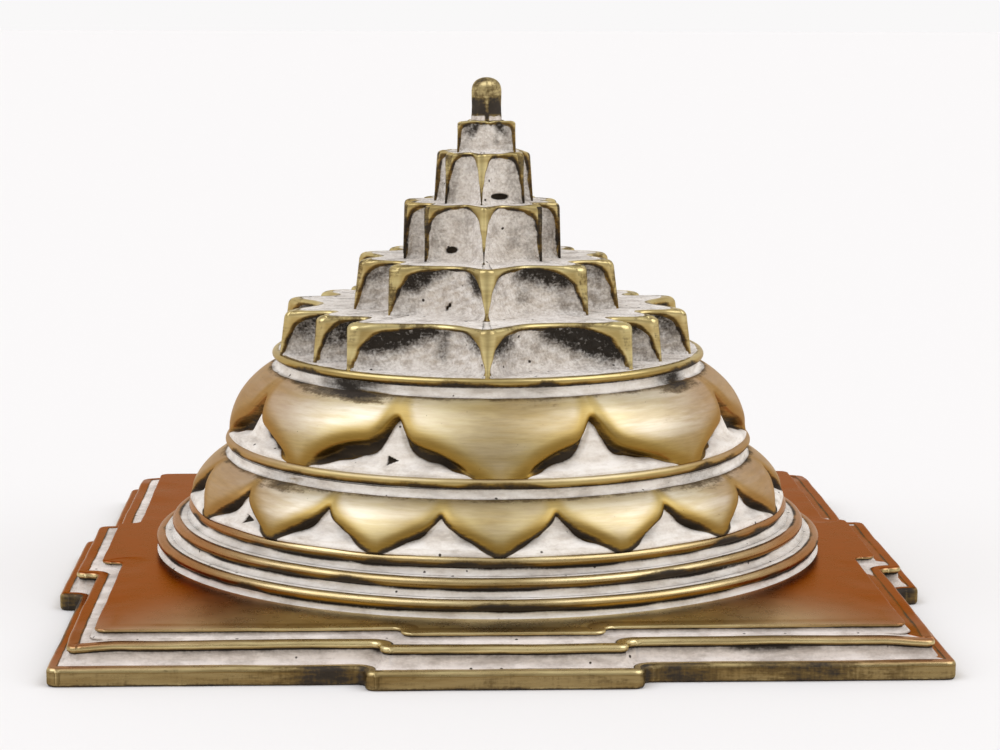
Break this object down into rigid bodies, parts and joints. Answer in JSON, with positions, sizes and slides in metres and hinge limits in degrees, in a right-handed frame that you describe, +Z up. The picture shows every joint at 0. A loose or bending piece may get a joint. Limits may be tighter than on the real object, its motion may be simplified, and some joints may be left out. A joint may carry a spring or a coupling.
{
  "type": "meru shri yantra",
  "caption": "Stepped brass yantra mountain: square gated plinths, circle steps, lotus petal rings, star-shaped tiers, a triangle and a bindu post, for standing on an altar or table.",
  "frame": {"origin": "on the table under the middle of the lower plinth", "axes": "+Z up through the bindu, -Y to the front gate that the picture faces, +X to its right"},
  "size_m": [0.158, 0.158, 0.096],
  "materials": {
    "plinth_brass": "worn, chalk in the ledges",
    "step_brass": "polished lips, chalk in the risers",
    "petal_brass": "polished, dark and chalky recesses",
    "tier_brass": "polished edges, chalk in the niches",
    "bindu_brass": "worn, dark in the faces"
  },
  "bodies": {
    "root": {"lower_plinth": "plinth_brass", "middle_plinth": "plinth_brass", "upper_plinth": "plinth_brass", "outer_circle_step": "step_brass", "middle_circle_step": "step_brass", "inner_circle_step": "step_brass", "sixteen_petal_ring": "petal_brass", "eight_petal_ring": "petal_brass", "fourteen_point_tier": "tier_brass", "outer_ten_point_tier": "tier_brass", "inner_ten_point_tier": "tier_brass", "eight_point_tier": "tier_brass", "triangle_tier": "tier_brass", "bindu": "bindu_brass"}
  },
  "joints": []
}
